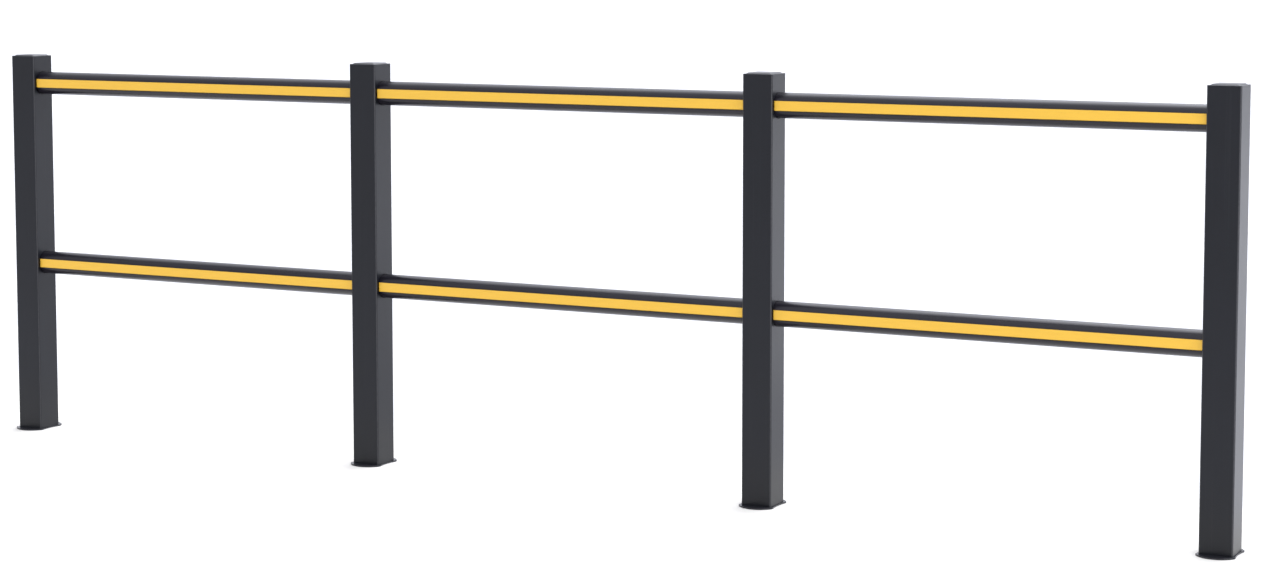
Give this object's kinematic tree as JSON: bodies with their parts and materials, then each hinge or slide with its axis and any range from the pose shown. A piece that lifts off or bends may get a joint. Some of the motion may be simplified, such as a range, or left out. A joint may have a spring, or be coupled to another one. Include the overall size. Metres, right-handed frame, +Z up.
{
  "type": "plastic safety guardrail",
  "caption": "Run of dark square plastic posts on bolted floor plates, joined by upper and lower round rails with inlaid yellow warning strips.",
  "frame": {"origin": "on the floor under the middle of the run, in the plane of the post axes", "axes": "+X along the rails, -Y towards the side with the strips, +Z up"},
  "size_m": [3.6346, 0.142, 1.1],
  "materials": {
    "post_plastic": "anthracite extrusion with a soft sheen",
    "cap_plastic": "anthracite moulding with a soft sheen",
    "rail_plastic": "anthracite extruded tube with a soft sheen",
    "strip_plastic": "warm yellow satin",
    "plate_paint": "dark grey powder coat",
    "spigot_steel": "galvanised steel tube",
    "core_plastic": "black moulded plastic",
    "rod_steel": "zinc-plated bar",
    "screw_steel": "stainless screw"
  },
  "bodies": {
    "guardrail": {"base_plate_1": "plate_paint", "base_plate_2": "plate_paint", "base_plate_3": "plate_paint", "base_plate_4": "plate_paint", "foot_insert_1": "core_plastic", "foot_insert_2": "core_plastic", "foot_insert_3": "core_plastic", "foot_insert_4": "core_plastic", "foot_spigot_1": "spigot_steel", "foot_spigot_2": "spigot_steel", "foot_spigot_3": "spigot_steel", "foot_spigot_4": "spigot_steel", "lock_rod_1": "rod_steel", "lock_rod_2": "rod_steel", "lock_rod_3": "rod_steel", "lock_rod_4": "rod_steel", "lower_rail_1": "rail_plastic", "lower_rail_2": "rail_plastic", "lower_rail_3": "rail_plastic", "lower_rail_joiner_2": "core_plastic", "lower_rail_joiner_3": "core_plastic", "lower_rail_plug_1": "core_plastic", "lower_rail_plug_4": "core_plastic", "lower_strip_1": "strip_plastic", "lower_strip_2": "strip_plastic", "lower_strip_3": "strip_plastic", "post_1": "post_plastic", "post_2": "post_plastic", "post_3": "post_plastic", "post_4": "post_plastic", "post_screw_1": "screw_steel", "post_screw_2": "screw_steel", "post_screw_3": "screw_steel", "post_screw_4": "screw_steel", "upper_rail_1": "rail_plastic", "upper_rail_2": "rail_plastic", "upper_rail_3": "rail_plastic", "upper_rail_joiner_2": "core_plastic", "upper_rail_joiner_3": "core_plastic", "upper_rail_plug_1": "core_plastic", "upper_rail_plug_4": "core_plastic", "upper_strip_1": "strip_plastic", "upper_strip_2": "strip_plastic", "upper_strip_3": "strip_plastic"},
    "cap_1": {"post_cap_1": "cap_plastic"},
    "cap_2": {"post_cap_2": "cap_plastic"},
    "cap_3": {"post_cap_3": "cap_plastic"},
    "cap_4": {"post_cap_4": "cap_plastic"}
  },
  "joints": [
    {"name": "cap_1_lift", "type": "slide", "parent": "guardrail", "child": "cap_1", "axis": [0, 0, 1], "range_m": [0, 0.05]},
    {"name": "cap_2_lift", "type": "slide", "parent": "guardrail", "child": "cap_2", "axis": [0, 0, 1], "range_m": [0, 0.05]},
    {"name": "cap_3_lift", "type": "slide", "parent": "guardrail", "child": "cap_3", "axis": [0, 0, 1], "range_m": [0, 0.05]},
    {"name": "cap_4_lift", "type": "slide", "parent": "guardrail", "child": "cap_4", "axis": [0, 0, 1], "range_m": [0, 0.05]}
  ]
}
